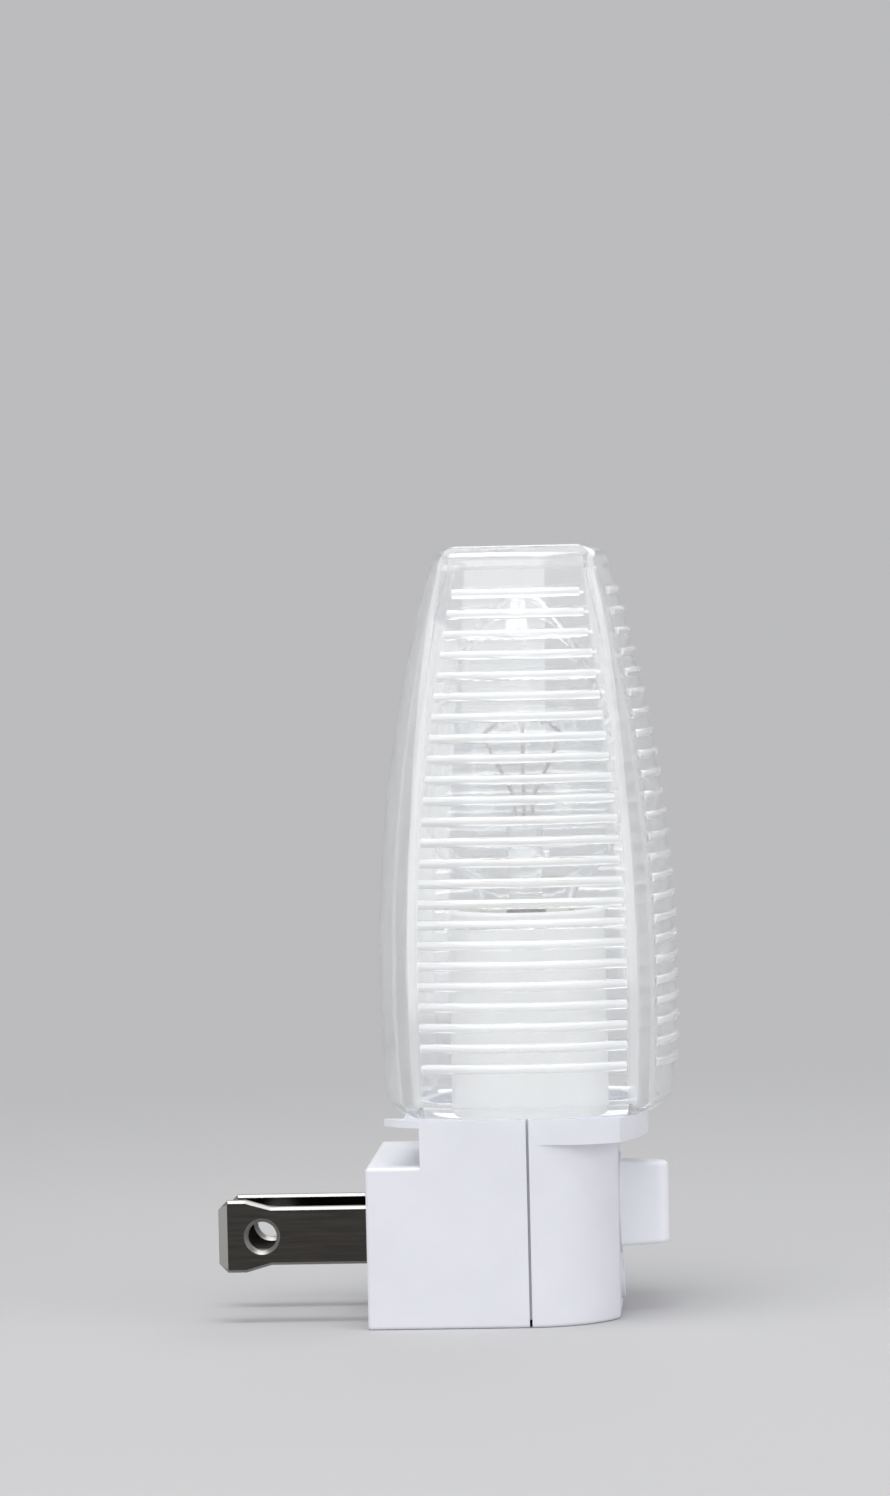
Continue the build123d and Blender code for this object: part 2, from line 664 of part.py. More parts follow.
# Bridge contact: brass strip with two buttons, which joins the fixed contacts when it lies level
with BuildPart() as bridge_contact:
    bridge_z = (switch_height - bridge_length / 2, switch_height + bridge_length / 2)
    block((bridge_rear, bridge_front), (-bridge_width / 2, bridge_width / 2), bridge_z)
    button_rear = bridge_rear - contact_button_height
    for side in (-1, 1):
        rod((button_rear, bridge_rear), 0, switch_height + side * contact_offset, contact_button_radius)
    bridge_hole = rotor_screw_radius + fit_clearance
    rod((bridge_rear, bridge_front), 0, switch_height, bridge_hole, Mode.SUBTRACT)
save(bridge_contact.part, "bridge_contact")

# Rotor screw: holds the bridge and the rotor on the shaft
with BuildPart() as rotor_screw:
    rod((bridge_rear - rotor_screw_head_height, bridge_rear), 0, switch_height, rotor_screw_head_radius)
    rod((bridge_rear, screw_tip - fit_clearance), 0, switch_height, rotor_screw_radius)
save(rotor_screw.part, "rotor_screw")

# Two housing screws, driven from the outlet face into the front half
with BuildPart() as housing_screws:
    for side in (-1, 1):
        head_face = screw_head_recess - screw_head_height
        rod((head_face, screw_head_recess), side * screw_y, screw_z, screw_head_radius)
        rod((screw_head_recess, screw_end), side * screw_y, screw_z, screw_radius)
        slot_y = (side * screw_y - screw_slot_width / 2, side * screw_y + screw_slot_width / 2)
        slot_z = (screw_z - screw_head_radius, screw_z + screw_head_radius)
        block((head_face, head_face + screw_head_height / 2), slot_y, slot_z, Mode.SUBTRACT)
save(housing_screws.part, "housing_screws")

# Lamp, drawn as half-sections that turn about the lamp axis; heights run from its foot
lamp_plane = Plane(origin=(lamp_x, 0, lamp_z), x_dir=(1, 0, 0), z_dir=(0, -1, 0))
lamp_axis = Axis((lamp_x, 0, lamp_z), (0, 0, 1))
cap_bore = cap_radius - thread_depth - cap_wall
lamp_neck_radius = cap_bore - fit_clearance
lamp_widest = cap_top + lamp_shoulder_rise
shoulder_x = lamp_radius - lamp_shoulder_radius
flare_x = lamp_neck_radius + lamp_flare_radius
centre_gap = lamp_shoulder_radius + lamp_flare_radius
flare_z = lamp_widest - sqrt(centre_gap**2 - (flare_x - shoulder_x) ** 2)
crown_z = lamp_length - lamp_crown_radius
crown_rise = crown_z - lamp_widest
taper_sum = lamp_radius**2 + crown_rise**2 - lamp_crown_radius**2
lamp_taper_radius = taper_sum / (2 * (lamp_radius - lamp_crown_radius))
taper_x = lamp_radius - lamp_taper_radius
neck_bottom = cap_top - thread_pitch / 2


def point_toward(centre, toward, distance):
    """The point at a distance from a centre, on the line towards another point."""
    direction = (Vector(*toward) - Vector(*centre)).normalized()
    return Vector(*centre) + direction * distance


def envelope(inset):
    """Closed half-section of the lamp's outer glass, moved inwards by an inset."""
    neck = lamp_neck_radius - inset
    shoulder = (shoulder_x, lamp_widest)
    flare = (flare_x, flare_z)
    joint = point_toward(shoulder, flare, lamp_shoulder_radius - inset)
    flare_toward = ((neck + joint.X) / 2, (flare_z + joint.Y) / 2)
    flare_turn = point_toward(flare, flare_toward, lamp_flare_radius + inset)
    shoulder_toward = (lamp_radius, (joint.Y + lamp_widest) / 2)
    shoulder_turn = point_toward(shoulder, shoulder_toward, lamp_shoulder_radius - inset)
    crown = (0, crown_z)
    crown_joint = point_toward((taper_x, lamp_widest), crown, lamp_taper_radius - inset)
    taper_toward = ((lamp_radius + crown_joint.X) / 2, (lamp_widest + crown_joint.Y) / 2)
    taper_turn = point_toward((taper_x, lamp_widest), taper_toward, lamp_taper_radius - inset)
    crown_turn = point_toward(crown, (crown_joint.X / 2, lamp_length), lamp_crown_radius - inset)
    tip = (0, lamp_length - inset)
    neck_end = (neck, neck_bottom)
    with BuildLine() as half:
        Line((0, neck_bottom), neck_end)
        Line(neck_end, (neck, flare_z))
        ThreePointArc((neck, flare_z), flare_turn, joint)
        ThreePointArc(joint, shoulder_turn, (lamp_radius - inset, lamp_widest))
        ThreePointArc((lamp_radius - inset, lamp_widest), taper_turn, crown_joint)
        ThreePointArc(crown_joint, crown_turn, tip)
        Line(tip, (0, neck_bottom))
    return half.line


with BuildPart() as bulb_glass:
    with BuildSketch(lamp_plane) as glass_outside:
        make_face(envelope(0).edges())
    revolve(axis=lamp_axis)
    with BuildSketch(lamp_plane) as glass_inside:
        make_face(envelope(glass_wall).edges())
    revolve(axis=lamp_axis, mode=Mode.SUBTRACT)
save(bulb_glass.part, "bulb_glass")

# Cap: brass, with rolled rings for the thread
with BuildPart() as bulb_cap:
    ring_count = int((cap_top - cap_bottom) / thread_pitch)
    root = cap_radius - thread_depth
    first_ring = cap_top - ring_count * thread_pitch
    with BuildSketch(lamp_plane) as cap_section:
        with BuildLine() as cap_line:
            Line((insulator_radius, cap_bottom), (root, first_ring))
            for ring in range(ring_count):
                ring_z = first_ring + ring * thread_pitch
                crest = (cap_radius, ring_z + thread_pitch / 2)
                ThreePointArc((root, ring_z), crest, (root, ring_z + thread_pitch))
            Polyline((root, cap_top), (cap_bore, cap_top), (cap_bore, first_ring))
            inner_foot = insulator_radius - cap_wall
            Polyline((cap_bore, first_ring), (inner_foot, cap_bottom), (insulator_radius, cap_bottom))
        make_face()
    revolve(axis=lamp_axis)
save(bulb_cap.part, "bulb_cap")

# Insulator: dark ring between the cap and the foot contact
with BuildPart() as bulb_insulator:
    with BuildSketch(lamp_plane) as insulator_section:
        with BuildLine() as insulator_line:
            Polyline(
                (0, insulator_bottom),
                (foot_radius, insulator_bottom),
                (insulator_radius, cap_bottom),
                (0, cap_bottom),
                close=True,
            )
        make_face()
    revolve(axis=lamp_axis)
save(bulb_insulator.part, "bulb_insulator")

# Foot contact: a low solder dome
with BuildPart() as bulb_tip_contact:
    with BuildSketch(lamp_plane) as foot_section:
        with BuildLine() as foot_line:
            TangentArc((0, 0), (foot_radius, insulator_bottom), tangent=(1, 0))
            Polyline((foot_radius, insulator_bottom), (0, insulator_bottom), (0, 0))
        make_face()
    revolve(axis=lamp_axis)
save(bulb_tip_contact.part, "bulb_tip_contact")

# Stem: glass mount that flares out to the neck
stem_flare = lamp_neck_radius - glass_wall - running_clearance
with BuildPart() as bulb_stem:
    with BuildSketch(lamp_plane) as stem_section:
        with BuildLine() as stem_line:
            flare_end = (stem_flare, neck_bottom)
            waist = (stem_radius, neck_bottom + stem_flare)
            bend_x = stem_radius + (stem_flare - stem_radius) * (1 - half_turn_rise)
            bend = (bend_x, neck_bottom + stem_flare * (1 - half_turn_rise))
            Line((0, neck_bottom), flare_end)
            ThreePointArc(flare_end, bend, waist)
            Polyline(waist, (stem_radius, stem_top), (0, stem_top), (0, neck_bottom))
        make_face()
    revolve(axis=lamp_axis)
save(bulb_stem.part, "bulb_stem")

# Lead wires: up from the stem and out to the ends of the filament
lead_top = stem_top + lead_rise
with BuildPart() as bulb_leads:
    for side in (-1, 1):
        lead_foot = lamp_plane.from_local_coords((side * lead_base, stem_top, 0))
        lead_bend = lamp_plane.from_local_coords((side * lead_base, stem_top + lead_straight, 0))
        lead_end = lamp_plane.from_local_coords((side * lead_spread, lead_top, 0))
        with BuildLine() as lead_path:
            FilletPolyline(lead_foot, lead_bend, lead_end, radius=lead_straight)
        with BuildSketch(Plane(origin=lead_foot, z_dir=(0, 0, 1))) as lead_round:
            Circle(lead_radius)
        sweep(path=lead_path.wire())
save(bulb_leads.part, "bulb_leads")

# Filament: a shallow arch between the lead ends, over a support wire
crest_height = lead_top + lead_radius + filament_radius + filament_rise
with BuildPart() as bulb_filament:
    filament_foot = lead_top + lead_radius + filament_radius
    arch_ends = [lamp_plane.from_local_coords((side * lead_spread, filament_foot, 0)) for side in (-1, 1)]
    arch_crest = lamp_plane.from_local_coords((0, crest_height, 0))
    with BuildLine() as arch:
        ThreePointArc(arch_ends[0], arch_crest, arch_ends[1])
    arch_start = arch.line.edges()[0] % 0
    with BuildSketch(Plane(origin=arch_ends[0], z_dir=arch_start)) as filament_round:
        Circle(filament_radius)
    sweep(path=arch.wire())
save(bulb_filament.part, "bulb_filament")

with BuildPart() as filament_support:
    support_span = (lamp_z + stem_top, lamp_z + crest_height - filament_radius)
    disc(support_span, lead_radius)
save(filament_support.part, "filament_support")
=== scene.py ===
import json
import math

import bpy
from mathutils import Matrix, Vector


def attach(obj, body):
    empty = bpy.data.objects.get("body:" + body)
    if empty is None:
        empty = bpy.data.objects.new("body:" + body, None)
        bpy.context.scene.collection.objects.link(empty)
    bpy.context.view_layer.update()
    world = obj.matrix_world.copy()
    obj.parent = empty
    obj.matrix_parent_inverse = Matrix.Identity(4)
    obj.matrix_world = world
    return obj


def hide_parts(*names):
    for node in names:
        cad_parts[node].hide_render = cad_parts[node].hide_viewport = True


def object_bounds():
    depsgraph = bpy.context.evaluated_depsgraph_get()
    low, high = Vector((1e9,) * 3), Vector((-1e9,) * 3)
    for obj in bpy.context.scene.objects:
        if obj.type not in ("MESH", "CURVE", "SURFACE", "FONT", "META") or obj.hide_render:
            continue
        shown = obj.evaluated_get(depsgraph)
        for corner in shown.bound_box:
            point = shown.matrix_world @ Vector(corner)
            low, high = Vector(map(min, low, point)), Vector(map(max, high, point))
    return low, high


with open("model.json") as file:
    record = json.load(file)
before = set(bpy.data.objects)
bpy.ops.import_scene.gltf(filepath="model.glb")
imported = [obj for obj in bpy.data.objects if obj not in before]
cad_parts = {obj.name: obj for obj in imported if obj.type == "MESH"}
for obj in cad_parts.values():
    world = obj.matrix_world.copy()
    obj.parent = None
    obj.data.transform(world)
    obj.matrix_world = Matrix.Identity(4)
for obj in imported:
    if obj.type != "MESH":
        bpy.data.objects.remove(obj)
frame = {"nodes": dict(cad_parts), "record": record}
cad_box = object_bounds()
nodes = frame["nodes"]
scene = bpy.context.scene
scene.view_settings.view_transform = "Standard"

# Light runs a long way inside the clear plastic before it comes out again
LONG_PATH = 32
scene.cycles.max_bounces = LONG_PATH
scene.cycles.glossy_bounces = LONG_PATH
scene.cycles.transmission_bounces = LONG_PATH
scene.cycles.transparent_max_bounces = LONG_PATH

# Camera, as found from the plug blades, the housing edges and the shade in the photograph
IMAGE_HEIGHT = 1496
FOCAL_PIXELS = 5870.0
SENSOR = 36.0
CLIP_NEAR = 0.01
CLIP_FAR = 20.0
CAMERA_AZIMUTH = 3.2
CAMERA_ELEVATION = 2.08
CAMERA_ROLL = 1.3
CAMERA_DISTANCE = 0.650
CAMERA_TARGET = Vector((0.0090, 0.0, 0.05313))


def add_camera():
    camera = bpy.data.cameras.new("camera")
    camera.sensor_width = SENSOR
    camera.lens = FOCAL_PIXELS * SENSOR / IMAGE_HEIGHT
    camera.clip_start = CLIP_NEAR
    camera.clip_end = CLIP_FAR
    holder = bpy.data.objects.new("camera", camera)
    scene.collection.objects.link(holder)
    azimuth = math.radians(CAMERA_AZIMUTH)
    elevation = math.radians(CAMERA_ELEVATION)
    level = math.cos(elevation)
    back = Vector((math.sin(azimuth) * level, -math.cos(azimuth) * level, math.sin(elevation)))
    turn = (-back).to_track_quat("-Z", "Y").to_matrix()
    roll = Matrix.Rotation(math.radians(-CAMERA_ROLL), 3, "Z")
    place = Matrix.Translation(CAMERA_TARGET + back * CAMERA_DISTANCE)
    holder.matrix_world = place @ (turn @ roll).to_4x4()
    scene.camera = holder


# Stage: a pale floor that fades into a pale background, and soft studio lamps
BACKGROUND = (0.50, 0.50, 0.51, 1.0)
AMBIENT_COLOUR = (1.0, 1.0, 1.0, 1.0)
AMBIENT_STRENGTH = 0.40
FLOOR_COLOUR = (0.53, 0.53, 0.54, 1.0)
FLOOR_SIZE = 4.0
FLOOR_SOLID_RADIUS = 0.10
FLOOR_FADE_RADIUS = 0.42


def either(tree, first, second):
    node = tree.nodes.new("ShaderNodeMath")
    node.operation = "MAXIMUM"
    tree.links.new(first, node.inputs[0])
    tree.links.new(second, node.inputs[1])
    return node.outputs[0]


def add_world():
    """The background shows to the camera, in gloss and through glass; the ambient light is separate."""
    world = bpy.data.worlds.new("studio")
    world.use_nodes = True
    tree = world.node_tree
    tree.nodes.clear()
    output = tree.nodes.new("ShaderNodeOutputWorld")
    seen = tree.nodes.new("ShaderNodeBackground")
    seen.inputs["Color"].default_value = BACKGROUND
    ambient = tree.nodes.new("ShaderNodeBackground")
    ambient.inputs["Color"].default_value = AMBIENT_COLOUR
    ambient.inputs["Strength"].default_value = AMBIENT_STRENGTH
    path = tree.nodes.new("ShaderNodeLightPath")
    straight = either(tree, path.outputs["Is Camera Ray"], path.outputs["Is Glossy Ray"])
    mix = tree.nodes.new("ShaderNodeMixShader")
    tree.links.new(either(tree, straight, path.outputs["Is Transmission Ray"]), mix.inputs[0])
    tree.links.new(ambient.outputs[0], mix.inputs[1])
    tree.links.new(seen.outputs[0], mix.inputs[2])
    tree.links.new(mix.outputs[0], output.inputs["Surface"])
    scene.world = world


def floor_material():
    material = bpy.data.materials.new("floor")
    material.use_nodes = True
    tree = material.node_tree
    tree.nodes.clear()
    output = tree.nodes.new("ShaderNodeOutputMaterial")
    diffuse = tree.nodes.new("ShaderNodeBsdfDiffuse")
    diffuse.inputs["Color"].default_value = FLOOR_COLOUR
    clear = tree.nodes.new("ShaderNodeBsdfTransparent")
    place = tree.nodes.new("ShaderNodeTexCoord")
    length = tree.nodes.new("ShaderNodeVectorMath")
    length.operation = "LENGTH"
    fade = tree.nodes.new("ShaderNodeMapRange")
    fade.interpolation_type = "SMOOTHSTEP"
    fade.inputs["From Min"].default_value = FLOOR_SOLID_RADIUS
    fade.inputs["From Max"].default_value = FLOOR_FADE_RADIUS
    mix = tree.nodes.new("ShaderNodeMixShader")
    tree.links.new(place.outputs["Object"], length.inputs[0])
    tree.links.new(length.outputs["Value"], fade.inputs["Value"])
    tree.links.new(fade.outputs["Result"], mix.inputs[0])
    tree.links.new(diffuse.outputs[0], mix.inputs[1])
    tree.links.new(clear.outputs[0], mix.inputs[2])
    tree.links.new(mix.outputs[0], output.inputs["Surface"])
    return material


def add_floor():
    half = FLOOR_SIZE / 2
    floor_z = cad_box[0].z
    corners = [(x * half, y * half, floor_z) for x, y in ((-1, -1), (1, -1), (1, 1), (-1, 1))]
    mesh = bpy.data.meshes.new("floor")
    mesh.from_pydata(corners, [], [(0, 1, 2, 3)])
    mesh.materials.append(floor_material())
    floor = bpy.data.objects.new("floor", mesh)
    scene.collection.objects.link(floor)


# Each lamp's place and size in metres and its power in watts; all of them point at one spot
LAMP_AIM = Vector((0.012, 0.0, 0.035))
LAMPS = {
    "overhead": {"place": (-0.03, -0.12, 0.62), "size": (0.4, 0.25), "power": 2.1},
    "front_top": {"place": (-0.08, -0.60, 0.45), "size": (0.5, 0.4), "power": 1.15},
    "left_front": {"place": (-0.55, -0.55, 0.17), "size": (0.4, 0.5), "power": 1.3},
    "right_front": {"place": (0.65, -0.38, 0.25), "size": (0.6, 0.6), "power": 1.9},
    "back": {"place": (0.15, 0.60, 0.40), "size": (0.5, 0.3), "power": 0.8},
}


def add_lamp(name, place, size, power):
    lamp = bpy.data.lights.new(name, "AREA")
    lamp.shape = "RECTANGLE"
    lamp.size, lamp.size_y = size
    lamp.energy = power
    holder = bpy.data.objects.new(name, lamp)
    holder.location = place
    holder.rotation_mode = "QUATERNION"
    holder.rotation_quaternion = (LAMP_AIM - Vector(place)).to_track_quat("-Z", "Y")
    scene.collection.objects.link(holder)


# Materials
def srgb(red, green, blue):
    """A colour given in 0 to 255 display values, as the linear colour that a shader takes."""
    linear = []
    for value in (red, green, blue):
        share = value / 255
        linear.append(share / 12.92 if share <= 0.04045 else ((share + 0.055) / 1.055) ** 2.4)
    return (*linear, 1.0)


class Surface:
    """A Principled material with procedural colour, roughness and relief in object space."""

    def __init__(self, name, **values):
        self.material = bpy.data.materials.new(name)
        self.material.use_nodes = True
        self.tree = self.material.node_tree
        self.shader = self.tree.nodes["Principled BSDF"]
        self.place = self.tree.nodes.new("ShaderNodeTexCoord")
        for socket, value in values.items():
            self.shader.inputs[socket.replace("_", " ")].default_value = value

    def link(self, source, target):
        self.tree.links.new(source, target)

    def noise(self, scale, detail=3.0, roughness=0.5, stretch=(1.0, 1.0, 1.0)):
        spread = self.tree.nodes.new("ShaderNodeMapping")
        spread.inputs["Scale"].default_value = stretch
        self.link(self.place.outputs["Object"], spread.inputs["Vector"])
        texture = self.tree.nodes.new("ShaderNodeTexNoise")
        texture.inputs["Scale"].default_value = scale
        texture.inputs["Detail"].default_value = detail
        texture.inputs["Roughness"].default_value = roughness
        self.link(spread.outputs["Vector"], texture.inputs["Vector"])
        return texture.outputs["Fac"]

    def split(self, coordinate):
        """The X, Y and Z of a texture coordinate, such as Object or Normal."""
        node = self.tree.nodes.new("ShaderNodeSeparateXYZ")
        self.link(self.place.outputs[coordinate], node.inputs["Vector"])
        return node.outputs

    def scaled(self, source, start, end, low, high):
        """A value that runs from low to high while the source runs from start to end."""
        node = self.tree.nodes.new("ShaderNodeMapRange")
        node.inputs["From Min"].default_value = start
        node.inputs["From Max"].default_value = end
        node.inputs["To Min"].default_value = low
        node.inputs["To Max"].default_value = high
        self.link(source, node.inputs["Value"])
        return node.outputs["Result"]

    def math(self, operation, first, second=0.0):
        node = self.tree.nodes.new("ShaderNodeMath")
        node.operation = operation
        for socket, value in zip(node.inputs, (first, second)):
            if isinstance(value, float):
                socket.default_value = value
            else:
                self.link(value, socket)
        return node.outputs["Value"]

    def distance(self, source, point):
        node = self.tree.nodes.new("ShaderNodeVectorMath")
        node.operation = "DISTANCE"
        node.inputs[1].default_value = point
        self.link(source, node.inputs[0])
        return node.outputs["Value"]

    def colour(self, source, stops):
        node = self.tree.nodes.new("ShaderNodeValToRGB")
        elements = node.color_ramp.elements
        while len(elements) < len(stops):
            elements.new(0.5)
        for element, (position, colour) in zip(elements, stops):
            element.position = position
            element.color = colour
        self.link(source, node.inputs["Fac"])
        self.link(node.outputs["Color"], self.shader.inputs["Base Color"])

    def rough(self, source, low, high):
        spread = self.scaled(source, start=0.0, end=1.0, low=low, high=high)
        self.link(spread, self.shader.inputs["Roughness"])

    def bump(self, source, strength, depth):
        node = self.tree.nodes.new("ShaderNodeBump")
        node.inputs["Strength"].default_value = strength
        node.inputs["Distance"].default_value = depth
        self.link(source, node.inputs["Height"])
        self.link(node.outputs["Normal"], self.shader.inputs["Normal"])

    def lets_lamps_through(self, tint):
        """Clear pieces throw no solid shadow: lamps shine through them, slightly dimmed."""
        output = self.tree.nodes["Material Output"]
        path = self.tree.nodes.new("ShaderNodeLightPath")
        clear = self.tree.nodes.new("ShaderNodeBsdfTransparent")
        clear.inputs["Color"].default_value = tint
        mix = self.tree.nodes.new("ShaderNodeMixShader")
        self.link(path.outputs["Is Shadow Ray"], mix.inputs[0])
        self.link(self.shader.outputs["BSDF"], mix.inputs[1])
        self.link(clear.outputs["BSDF"], mix.inputs[2])
        self.link(mix.outputs["Shader"], output.inputs["Surface"])


MOTTLE_DEPTH = 3


def white_plastic(name, shade, low, high):
    """Satin moulded plastic: faint mottling, fine spark texture."""
    surface = Surface(name, IOR=1.5)
    mottle = surface.noise(scale=180.0, detail=4.0)
    dark = srgb(*(value - MOTTLE_DEPTH for value in shade))
    surface.colour(mottle, [(0.35, dark), (0.65, srgb(*shade))])
    surface.rough(surface.noise(scale=900.0, detail=2.0), low, high)
    surface.bump(surface.noise(scale=5200.0, detail=2.0), strength=0.10, depth=0.00004)
    return surface.material


# The smooth shape under the ribs of the shade, in metres
SHADE_AXIS = 0.0176
SHADE_HALF_WIDTH = 0.0164
SHADE_WIDEST = 0.0280
BARREL_RADIUS = 0.160
BOW_SETBACK = 0.0150
CORNER_MARGIN = 0.0022


def shade_forms(surface):
    """How far a point stands proud of the smooth shade, as the ribs do, and how near it is to a corner."""
    parts = surface.split("Object")
    combined = surface.tree.nodes.new("ShaderNodeCombineXYZ")
    surface.link(parts["X"], combined.inputs["X"])
    surface.link(parts["Y"], combined.inputs["Y"])
    plan = combined.outputs["Vector"]
    front = surface.distance(plan, (SHADE_AXIS - BOW_SETBACK, 0.0, 0.0))
    near = surface.distance(plan, (SHADE_AXIS, BOW_SETBACK, 0.0))
    far = surface.distance(plan, (SHADE_AXIS, -BOW_SETBACK, 0.0))
    reach = surface.math("MAXIMUM", surface.math("MAXIMUM", near, far), front)
    rise = surface.math("SUBTRACT", parts["Z"], SHADE_WIDEST)
    square = surface.math("SUBTRACT", BARREL_RADIUS**2, surface.math("MULTIPLY", rise, rise))
    half_width = surface.math("ADD", surface.math("SQRT", square), SHADE_HALF_WIDTH - BARREL_RADIUS)
    proud = surface.math("SUBTRACT", reach, surface.math("ADD", half_width, BOW_SETBACK))
    radius = surface.distance(plan, (SHADE_AXIS, 0.0, 0.0))
    corner = surface.math("SUBTRACT", radius, surface.math("ADD", half_width, CORNER_MARGIN))
    return proud, corner


CLEAR_TINT = (0.96, 0.965, 0.97, 1.0)
CLEAR_SHADOW = (0.78, 0.79, 0.80, 1.0)
FACE_CLEARNESS = 0.88
PAINTED_HIGHLIGHT_CLEARNESS = 0.52
CORNER_PAINTED_HIGHLIGHT = 0.6


def clear_plastic(name):
    """Clear moulding, slightly hazy, with flow marks; the ribs and corners are made milkier as a painted
    highlight.
    """
    surface = Surface(name, IOR=1.52)
    surface.shader.inputs["Base Color"].default_value = CLEAR_TINT
    proud, corner = shade_forms(surface)
    # Milkier ribs and corners: painted highlight standing in for light caught in the ribs and piped along
    # the corners
    ribs = surface.scaled(proud, start=0.00002, end=0.00030, low=0.0, high=1.0)
    corners = surface.scaled(corner, start=-0.00050, end=-0.00025, low=0.0, high=CORNER_PAINTED_HIGHLIGHT)
    painted_highlight = surface.math("MAXIMUM", ribs, corners)
    clear = surface.scaled(painted_highlight, start=0.0, end=1.0, low=FACE_CLEARNESS, high=PAINTED_HIGHLIGHT_CLEARNESS)
    surface.link(clear, surface.shader.inputs["Transmission Weight"])
    flow = surface.noise(scale=120.0, stretch=(1.0, 1.0, 0.35))
    surface.rough(flow, low=0.02, high=0.08)
    surface.bump(flow, strength=0.05, depth=0.0003)
    surface.lets_lamps_through(CLEAR_SHADOW)
    return surface.material


GLASS_TINT = (0.985, 0.99, 0.99, 1.0)
GLASS_SHADOW = (0.94, 0.95, 0.95, 1.0)


def clear_glass(name):
    """Thin blown glass with faint ripples."""
    surface = Surface(name, Transmission_Weight=1.0, IOR=1.47)
    surface.shader.inputs["Base Color"].default_value = GLASS_TINT
    ripple = surface.noise(scale=60.0, detail=2.0)
    surface.rough(ripple, low=0.0, high=0.02)
    surface.bump(ripple, strength=0.03, depth=0.0004)
    surface.lets_lamps_through(GLASS_SHADOW)
    return surface.material


def plated_metal(name, dark, light, low, high):
    """Drawn or plated metal: fine pits and uneven sheen."""
    surface = Surface(name, Metallic=1.0)
    sheen = surface.noise(scale=700.0, detail=4.0, roughness=0.6)
    surface.colour(sheen, [(0.3, dark), (0.7, light)])
    surface.rough(sheen, low, high)
    surface.bump(surface.noise(scale=3200.0, roughness=0.6), strength=0.12, depth=0.00003)
    return surface.material


# Blade plating: the tone runs from dark to plain on the flat faces, which is a painted dark reflection, and
# on to the paler edges, which are a painted highlight
PAINTED_REFLECTION_DARK = (0.050, 0.046, 0.042, 1.0)
PAINTED_REFLECTION_PLAIN = (0.080, 0.074, 0.067, 1.0)
PAINTED_EDGE_HIGHLIGHT = (0.30, 0.295, 0.285, 1.0)
PLATE_TONE = 0.7
DARK_STOP = 0.30 * PLATE_TONE
PLAIN_STOP = 0.70 * PLATE_TONE
BEVEL_FACING = 0.94
FLAT_FACING = 0.985
EDGE_ROUGHNESS = 0.40


def blade_edges(surface):
    """One on the edges and bevels of a blade, zero on its flat faces."""
    facing = surface.math("ABSOLUTE", surface.split("Normal")["Y"])
    return surface.scaled(facing, start=BEVEL_FACING, end=FLAT_FACING, low=1.0, high=0.0)


def blade_plating(name):
    """Nickel plate over rolled stock, coloured darker than bare nickel as a painted dark reflection: fine
    lines along the blade, cloudy sheen, and paler, duller edges whose pale colour is a painted highlight.
    """
    surface = Surface(name, Metallic=1.0)
    edges = blade_edges(surface)
    lines = surface.noise(scale=2400.0, roughness=0.6, stretch=(0.06, 1.0, 1.0))
    # Painted dark reflection on the flat faces, painted highlight on the edges and bevels
    tone = surface.math("MAXIMUM", surface.math("MULTIPLY", lines, PLATE_TONE), edges)
    stops = [(DARK_STOP, PAINTED_REFLECTION_DARK), (PLAIN_STOP, PAINTED_REFLECTION_PLAIN), (PLATE_TONE, PAINTED_REFLECTION_PLAIN), (1.0, PAINTED_EDGE_HIGHLIGHT)]
    surface.colour(tone, stops)
    cloud = surface.noise(scale=160.0, stretch=(0.5, 1.0, 1.0))
    sheen = surface.scaled(cloud, start=0.0, end=1.0, low=0.09, high=0.20)
    dull = surface.math("MULTIPLY", edges, EDGE_ROUGHNESS)
    surface.link(surface.math("MAXIMUM", sheen, dull), surface.shader.inputs["Roughness"])
    surface.bump(lines, strength=0.06, depth=0.00002)
    return surface.material


def brass(name, dark, light, low, high):
    """Bare brass with soft tarnish patches, duller where it is dark."""
    surface = Surface(name, Metallic=1.0)
    tarnish = surface.noise(scale=260.0, detail=5.0, roughness=0.6)
    surface.colour(tarnish, [(0.3, dark), (0.65, light)])
    surface.rough(tarnish, high, low)
    surface.bump(surface.noise(scale=2600.0), strength=0.10, depth=0.00003)
    return surface.material


def dark_moulding(name, dark, light, low, high, grain):
    """Phenolic or glassy insulation with a fine fleck."""
    surface = Surface(name, IOR=1.55)
    fleck = surface.noise(scale=grain, detail=5.0, roughness=0.65)
    surface.colour(fleck, [(0.35, dark), (0.7, light)])
    surface.rough(fleck, low, high)
    surface.bump(fleck, strength=0.15, depth=0.00005)
    return surface.material


HOUSING_WHITE = (228, 229, 236)
SOCKET_WHITE = (236, 236, 234)
# The knob's white is lighter than the housing's: painted light that offsets the shade on its set-back face
KNOB_WHITE_PAINTED_LIGHT = (238, 239, 245)

# Dark and light tone of each metal and moulding
STEEL = ((0.42, 0.42, 0.40, 1.0), (0.62, 0.62, 0.60, 1.0))
LEAD_WIRE = ((0.45, 0.43, 0.40, 1.0), (0.62, 0.60, 0.57, 1.0))
TUNGSTEN = ((0.16, 0.16, 0.17, 1.0), (0.30, 0.30, 0.31, 1.0))
SOLDER = ((0.40, 0.40, 0.42, 1.0), (0.58, 0.58, 0.60, 1.0))
CONTACT_BRASS = ((0.46, 0.30, 0.10, 1.0), (0.72, 0.51, 0.20, 1.0))
CAP_BRASS = ((0.55, 0.38, 0.15, 1.0), (0.80, 0.60, 0.28, 1.0))
BOARD_BROWN = ((0.055, 0.024, 0.010, 1.0), (0.11, 0.05, 0.022, 1.0))
ROTOR_DARK = ((0.008, 0.008, 0.009, 1.0), (0.025, 0.025, 0.027, 1.0))
INSULATOR_BLACK = ((0.004, 0.004, 0.006, 1.0), (0.014, 0.014, 0.018, 1.0))

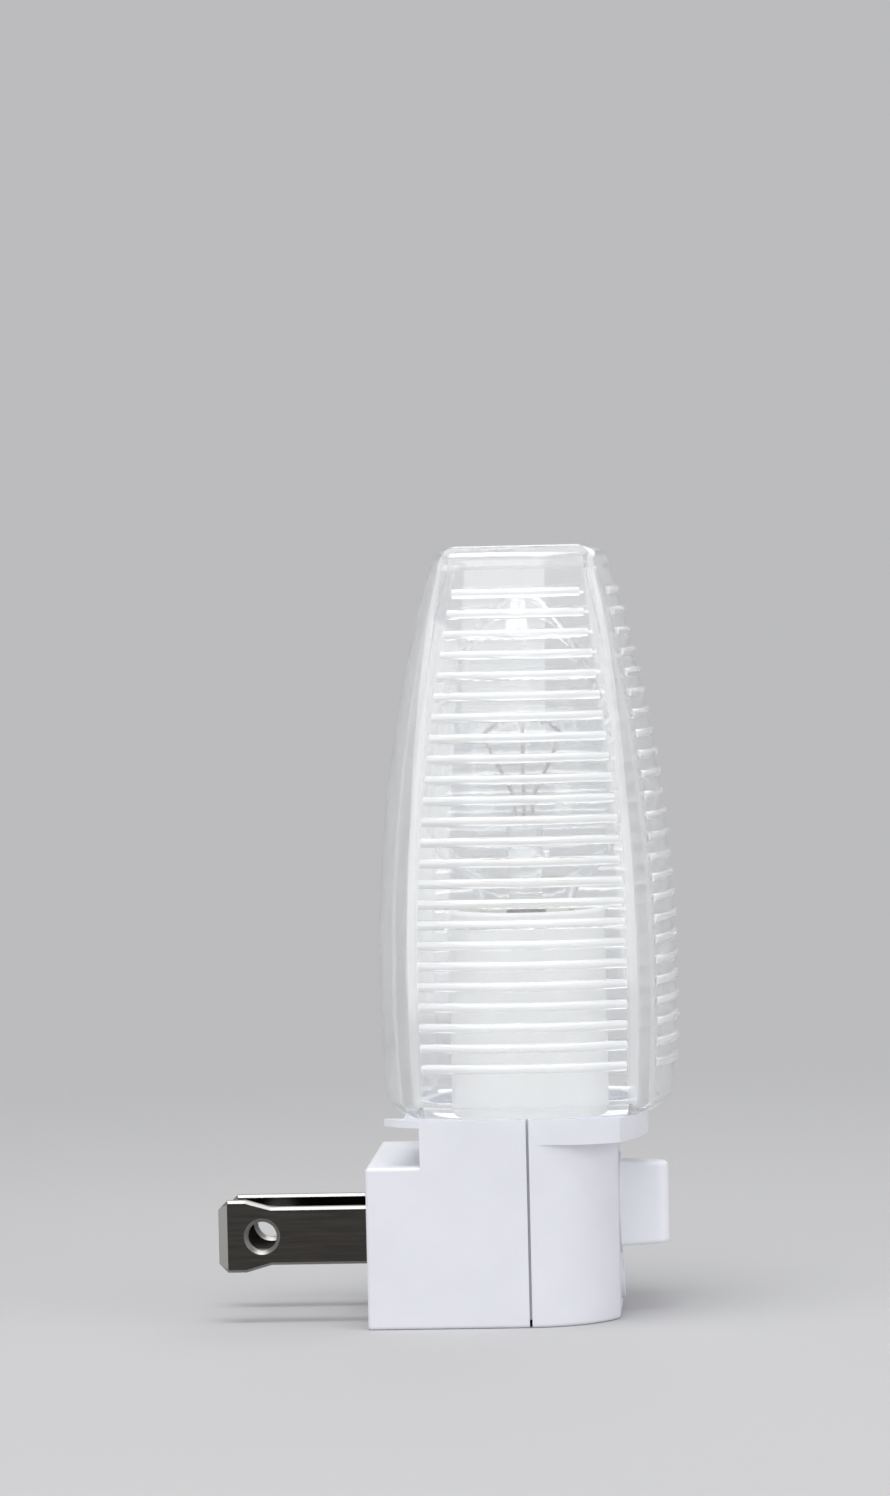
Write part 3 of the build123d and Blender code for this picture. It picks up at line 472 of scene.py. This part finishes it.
MATERIALS = {
    "housing_white": white_plastic("housing_white", HOUSING_WHITE, low=0.36, high=0.46),
    "socket_white": white_plastic("socket_white", SOCKET_WHITE, low=0.40, high=0.50),
    "knob_white": white_plastic("knob_white", KNOB_WHITE_PAINTED_LIGHT, low=0.32, high=0.42),
    "shade_clear": clear_plastic("shade_clear"),
    "bulb_glass": clear_glass("bulb_glass"),
    "blade_nickel": blade_plating("blade_nickel"),
    "screw_steel": plated_metal("screw_steel", *STEEL, low=0.25, high=0.40),
    "lead_wire": plated_metal("lead_wire", *LEAD_WIRE, low=0.22, high=0.34),
    "tungsten": plated_metal("tungsten", *TUNGSTEN, low=0.35, high=0.50),
    "solder": plated_metal("solder", *SOLDER, low=0.38, high=0.55),
    "contact_brass": brass("contact_brass", *CONTACT_BRASS, low=0.24, high=0.42),
    "cap_brass": brass("cap_brass", *CAP_BRASS, low=0.18, high=0.32),
    "board_brown": dark_moulding("board_brown", *BOARD_BROWN, low=0.40, high=0.60, grain=900.0),
    "rotor_dark": dark_moulding("rotor_dark", *ROTOR_DARK, low=0.30, high=0.50, grain=700.0),
    "insulator_black": dark_moulding("insulator_black", *INSULATOR_BLACK, low=0.06, high=0.14, grain=400.0),
}


def dress_nodes():
    """Each CAD node takes the material of its slot in the record."""
    for entry in frame["record"]["subparts"]:
        node = nodes[entry["node"]]
        slot = entry["material_slot"]
        node.data.materials.clear()
        node.data.materials.append(MATERIALS[slot])


# Filament: a coil of fine wire along the arch that the CAD node shows as a plain rod, in metres
ARCH_HALF_SPAN = 0.0042
ARCH_RISE = 0.0016
ARCH_FOOT = 0.05448
ARCH_RADIUS = (ARCH_HALF_SPAN**2 + ARCH_RISE**2) / (2 * ARCH_RISE)
ARCH_HALF_ANGLE = math.asin(ARCH_HALF_SPAN / ARCH_RADIUS)
ARCH_CENTRE = Vector((SHADE_AXIS, 0.0, ARCH_FOOT + ARCH_RISE - ARCH_RADIUS))
COIL_RADIUS = 0.00019
COIL_WIRE = 0.00005
COIL_TURNS = 44
COIL_STEPS = 14
WIRE_SIDES = 6


def coil_point(share):
    """A point of the coil's centre line and the direction out from the arch there."""
    lean = ARCH_HALF_ANGLE * (2 * share - 1)
    turn = 2 * math.pi * COIL_TURNS * share
    upward = Vector((math.sin(lean), 0.0, math.cos(lean)))
    outward = upward * math.cos(turn) + Vector((0.0, math.sin(turn), 0.0))
    return ARCH_CENTRE + upward * ARCH_RADIUS + outward * COIL_RADIUS, outward


def wire_corners(path):
    """A ring of corners round each point of the wire."""
    corners = []
    last = len(path) - 1
    for step, (point, outward) in enumerate(path):
        before = path[max(step - 1, 0)][0]
        after = path[min(step + 1, last)][0]
        across = (after - before).normalized().cross(outward)
        for side in range(WIRE_SIDES):
            angle = 2 * math.pi * side / WIRE_SIDES
            corners.append(point + (outward * math.cos(angle) + across * math.sin(angle)) * COIL_WIRE)
    return corners


def wire_faces(count):
    """Faces between each ring and the next, and one at each end of the wire."""
    faces = []
    for step in range(count):
        for side in range(WIRE_SIDES):
            first = step * WIRE_SIDES + side
            second = step * WIRE_SIDES + (side + 1) % WIRE_SIDES
            faces.append((first, first + WIRE_SIDES, second + WIRE_SIDES, second))
    faces.append(tuple(range(WIRE_SIDES)))
    faces.append(tuple(reversed(range(count * WIRE_SIDES, (count + 1) * WIRE_SIDES))))
    return faces


def add_filament_coil():
    count = COIL_TURNS * COIL_STEPS
    path = [coil_point(step / count) for step in range(count + 1)]
    mesh = bpy.data.meshes.new("filament_coil")
    mesh.from_pydata(wire_corners(path), [], wire_faces(count))
    mesh.materials.append(MATERIALS["tungsten"])
    mesh.shade_smooth()
    coil = bpy.data.objects.new("filament_coil", mesh)
    scene.collection.objects.link(coil)
    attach(coil, "bulb")
    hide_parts("bulb_filament")


add_camera()
add_world()
add_floor()
for lamp_name, lamp_values in LAMPS.items():
    add_lamp(lamp_name, **lamp_values)
dress_nodes()
add_filament_coil()
